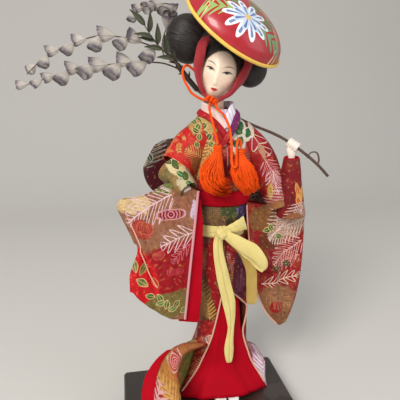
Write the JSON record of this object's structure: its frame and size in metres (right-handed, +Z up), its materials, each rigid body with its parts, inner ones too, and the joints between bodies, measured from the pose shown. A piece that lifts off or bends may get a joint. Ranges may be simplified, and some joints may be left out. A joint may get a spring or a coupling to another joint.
{
  "type": "kimono display doll",
  "caption": "Standing doll in a layered red kimono and round hat, holding a wisteria branch over the shoulder, on a flat lacquered board; head, tassels and branch turn.",
  "frame": {"origin": "centre of the display board's underside", "axes": "+Z up, the doll faces -Y, +X towards the doll's left along the board's width"},
  "size_m": [0.2953, 0.1669, 0.4428],
  "materials": {
    "lacquer": "black lacquer, satin",
    "steel": "drawn wire",
    "straw": "bound straw and paper",
    "tabi": "white cotton",
    "skin": "polished shell-white coating, satin",
    "wood": "plain dowel",
    "hair": "black silk floss, combed",
    "red": "plain red crepe",
    "brocade": "red and gold woven brocade",
    "white": "white and lilac crepe",
    "obi": "dark green and gold brocade",
    "dark": "dark brocade with maroon lining",
    "sash": "pale yellow silk",
    "redLacquer": "red lacquer over moulded card, gloss",
    "gold": "yellow braid",
    "orange": "orange silk cord and floss",
    "stem": "paper-wound wire",
    "leaf": "stiffened cloth leaves",
    "blossom": "faded gauze petals with violet edges"
  },
  "bodies": {
    "doll": {"base_board": "lacquer", "right_leg_wire": "steel", "left_leg_wire": "steel", "right_foot": "tabi", "left_foot": "tabi", "body_core": "straw", "right_arm": "straw", "left_arm": "straw", "right_hand": "skin", "left_hand": "skin", "under_robe": "red", "kimono_skirt": "brocade", "train_roll": "brocade", "train_lining": "red", "kimono_bodice": "brocade", "kimono_collar": "red", "under_collar": "white", "hip_sash": "sash", "obi": "obi", "obi_scarf": "red", "obi_bow": "dark", "obi_bow_band": "dark", "sash_knot": "sash", "sash_long_tail": "sash", "sash_short_tail": "sash", "sash_loop": "sash", "sash_ear": "sash", "right_sleeve_upper": "brocade", "right_sleeve_forearm": "brocade", "right_sleeve_bag": "brocade", "right_sleeve_lining": "red", "left_sleeve_upper": "brocade", "left_sleeve_forearm": "brocade", "left_sleeve_bag": "brocade", "left_cuff_lining": "red"},
    "head": {"head": "skin", "neck_peg": "wood", "wig_cap": "hair", "wig_right_wing": "hair", "wig_left_wing": "hair", "wig_topknot": "hair", "wig_back_roll": "hair", "hat_shell": "redLacquer", "hat_rim": "gold", "hat_pad": "red", "right_strap": "red", "left_strap": "red", "chin_knot": "orange", "loose_loop": "orange"},
    "right_tassel": {"right_tassel_cord": "orange", "right_tassel": "orange"},
    "left_tassel": {"left_tassel_cord": "orange", "left_tassel": "orange"},
    "branch": {"branch_stem": "stem", "branch_wrap": "stem", "leaf_spray": "leaf", "upper_raceme": "blossom", "middle_raceme": "blossom", "lower_raceme": "blossom"}
  },
  "joints": [
    {"name": "head_turn", "type": "hinge", "parent": "doll", "child": "head", "pos_m": [0.013, 0.0425, 0.322], "axis": [0, 0, 1], "range_deg": [-5, 5]},
    {"name": "right_tassel_swing", "type": "hinge", "parent": "head", "child": "right_tassel", "pos_m": [0.0009, 0.0225, 0.3349], "axis": [-1, 0, 0], "range_deg": [0, 45]},
    {"name": "left_tassel_swing", "type": "hinge", "parent": "head", "child": "left_tassel", "pos_m": [0.0073, 0.0225, 0.3349], "axis": [-1, 0, 0], "range_deg": [0, 45]},
    {"name": "branch_turn", "type": "hinge", "parent": "doll", "child": "branch", "pos_m": [0.0876, 0.025, 0.296], "axis": [-0.6988, 0.5058, 0.5058], "range_deg": [-8, 2]}
  ]
}
